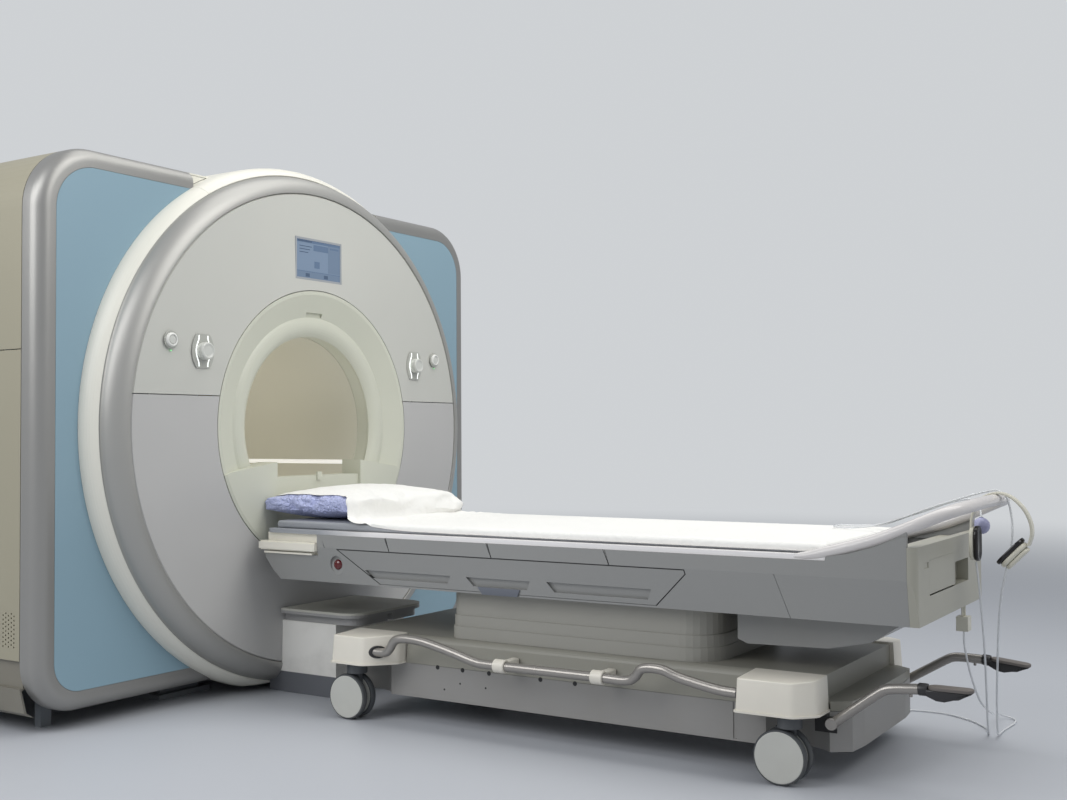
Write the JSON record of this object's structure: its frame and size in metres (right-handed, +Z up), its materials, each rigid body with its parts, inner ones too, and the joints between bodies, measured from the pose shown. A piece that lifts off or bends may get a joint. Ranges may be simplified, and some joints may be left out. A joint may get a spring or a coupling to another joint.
{
  "type": "mri scanner",
  "caption": "Hospital MRI scanner with a round white front, blue side panels, a dockable patient table on a castor trolley, pillow, sheet and headset",
  "frame": {"origin": "On the floor, below the middle of the bore", "axes": "X runs along the bore from the magnet to the table's foot end, Y across the bore away from the camera's side, Z up"},
  "size_m": [4.324, 2.304, 1.9798],
  "materials": {
    "face_paint": "off-white satin",
    "ring_metal": "silver grey metallic",
    "cream_plastic": "warm cream",
    "funnel_plastic": "greenish cream",
    "blue_panel": "light blue satin",
    "vessel_steel": "white painted steel",
    "coil_resin": "ochre cast resin",
    "frame_steel": "grey painted steel",
    "display_glass": "blue grey lit screen",
    "control_plastic": "light grey",
    "light_strip": "white diffuser",
    "dock_plastic": "light warm grey",
    "table_paint": "light grey white",
    "top_plastic": "dark grey",
    "mattress_skin": "white vinyl",
    "handle_paint": "white gloss tube",
    "red_lens": "clear red",
    "lift_plastic": "warm light grey",
    "base_paint": "grey white",
    "rail_paint": "mid grey gloss",
    "tyre_grey": "dark grey tyre with off-white cap",
    "pillow_cloth": "periwinkle blue",
    "sheet_cloth": "white cotton",
    "headset_plastic": "cream with black pads",
    "tube_plastic": "clear"
  },
  "bodies": {
    "gantry": {"front_cover_upper": "face_paint", "front_cover_lower": "face_paint", "front_ring": "ring_metal", "drum_bands": "cream_plastic", "top_cover": "cream_plastic", "entry_funnel": "funnel_plastic", "bore_liner": "funnel_plastic", "front_panels": "blue_panel", "panel_trims": "ring_metal", "side_covers": "cream_plastic", "base_skirt": "cream_plastic", "rear_cover": "cream_plastic", "magnet_vessel": "vessel_steel", "gradient_coil": "coil_resin", "body_coil": "coil_resin", "magnet_feet": "frame_steel", "cover_frame": "frame_steel", "display": "display_glass", "knob_plates": "face_paint", "bore_lights": "light_strip", "dock_box": "dock_plastic", "dock_cap": "dock_plastic"},
    "knob_left": {"knob_left": "control_plastic"},
    "knob_right": {"knob_right": "control_plastic"},
    "stop_left": {"stop_button_left": "control_plastic"},
    "stop_right": {"stop_button_right": "control_plastic"},
    "trolley": {"trolley_base": "base_paint", "deck_cover": "lift_plastic", "castor_covers": "lift_plastic", "side_rails": "rail_paint", "lift_shell_lower": "lift_plastic", "lift_columns": "frame_steel"},
    "middle_shell": {"lift_shell_middle": "lift_plastic"},
    "table": {"table_body": "table_paint", "side_panels": "table_paint", "tabletop": "top_plastic", "mattress": "mattress_skin", "bow_handle": "handle_paint", "end_cover": "table_paint", "grab_handles": "table_paint", "under_cover": "table_paint", "lift_shell_upper": "lift_plastic", "lift_posts": "frame_steel", "pillow": "pillow_cloth", "bed_sheet": "sheet_cloth", "headset": "headset_plastic", "lead_box": "headset_plastic", "air_tube": "tube_plastic"},
    "release_button": {"release_button": "red_lens"},
    "end_flap": {"end_flap": "table_paint"},
    "pedal_left": {"pedal_left": "rail_paint"},
    "pedal_right": {"pedal_right": "rail_paint"},
    "fork_1": {"castor_fork_1": "frame_steel"},
    "wheel_1": {"castor_wheel_1": "tyre_grey"},
    "fork_2": {"castor_fork_2": "frame_steel"},
    "wheel_2": {"castor_wheel_2": "tyre_grey"},
    "fork_3": {"castor_fork_3": "frame_steel"},
    "wheel_3": {"castor_wheel_3": "tyre_grey"},
    "fork_4": {"castor_fork_4": "frame_steel"},
    "wheel_4": {"castor_wheel_4": "tyre_grey"}
  },
  "joints": [
    {"name": "undock", "type": "slide", "parent": "gantry", "child": "trolley", "axis": [1, 0, 0], "range_m": [0, 0.7]},
    {"name": "table_lift", "type": "slide", "parent": "trolley", "child": "table", "axis": [0, 0, 1], "range_m": [0, 0.24], "deforming": ["air_tube"]},
    {"name": "middle_lift", "type": "slide", "parent": "trolley", "child": "middle_shell", "axis": [0, 0, 1], "range_m": [0, 0.12]},
    {"name": "knob_left_turn", "type": "hinge", "parent": "gantry", "child": "knob_left", "pos_m": [0.865, -0.592, 1.239], "axis": [1, 0, 0], "range_deg": [-30, 30], "stiffness_Nm_per_rad": 0.05},
    {"name": "knob_right_turn", "type": "hinge", "parent": "gantry", "child": "knob_right", "pos_m": [0.865, 0.592, 1.239], "axis": [1, 0, 0], "range_deg": [-30, 30], "stiffness_Nm_per_rad": 0.05},
    {"name": "stop_left_press", "type": "slide", "parent": "gantry", "child": "stop_left", "axis": [-1, 0, 0], "range_m": [0, 0.003], "stiffness_N_per_m": 600},
    {"name": "stop_right_press", "type": "slide", "parent": "gantry", "child": "stop_right", "axis": [-1, 0, 0], "range_m": [0, 0.003], "stiffness_N_per_m": 600},
    {"name": "release_press", "type": "slide", "parent": "table", "child": "release_button", "axis": [0, 1, 0], "range_m": [0, 0.004], "stiffness_N_per_m": 600},
    {"name": "flap_open", "type": "hinge", "parent": "table", "child": "end_flap", "pos_m": [3.232, -0.105, 0.518], "axis": [0, 1, 0], "range_deg": [0, 90]},
    {"name": "pedal_left_tread", "type": "hinge", "parent": "trolley", "child": "pedal_left", "pos_m": [3, -0.332, 0.162], "axis": [0, 1, 0], "range_deg": [-6, 12]},
    {"name": "pedal_right_tread", "type": "hinge", "parent": "trolley", "child": "pedal_right", "pos_m": [3, 0.332, 0.162], "axis": [0, 1, 0], "range_deg": [-12, 6]},
    {"name": "swivel_1", "type": "hinge", "parent": "trolley", "child": "fork_1", "pos_m": [1.387, -0.392, 0.17], "axis": [0, 0, 1], "continuous": true},
    {"name": "roll_1", "type": "hinge", "parent": "fork_1", "child": "wheel_1", "pos_m": [1.367, -0.392, 0.075], "axis": [0, 1, 0], "continuous": true},
    {"name": "swivel_2", "type": "hinge", "parent": "trolley", "child": "fork_2", "pos_m": [1.387, 0.392, 0.17], "axis": [0, 0, 1], "continuous": true},
    {"name": "roll_2", "type": "hinge", "parent": "fork_2", "child": "wheel_2", "pos_m": [1.367, 0.392, 0.075], "axis": [0, 1, 0], "continuous": true},
    {"name": "swivel_3", "type": "hinge", "parent": "trolley", "child": "fork_3", "pos_m": [2.903, -0.392, 0.17], "axis": [0, 0, 1], "continuous": true},
    {"name": "roll_3", "type": "hinge", "parent": "fork_3", "child": "wheel_3", "pos_m": [2.883, -0.392, 0.075], "axis": [0, 1, 0], "continuous": true},
    {"name": "swivel_4", "type": "hinge", "parent": "trolley", "child": "fork_4", "pos_m": [2.903, 0.392, 0.17], "axis": [0, 0, 1], "continuous": true},
    {"name": "roll_4", "type": "hinge", "parent": "fork_4", "child": "wheel_4", "pos_m": [2.883, 0.392, 0.075], "axis": [0, 1, 0], "continuous": true}
  ],
  "couplings": [
    {"joint": "middle_lift", "follows": "table_lift", "ratio": 0.5}
  ]
}
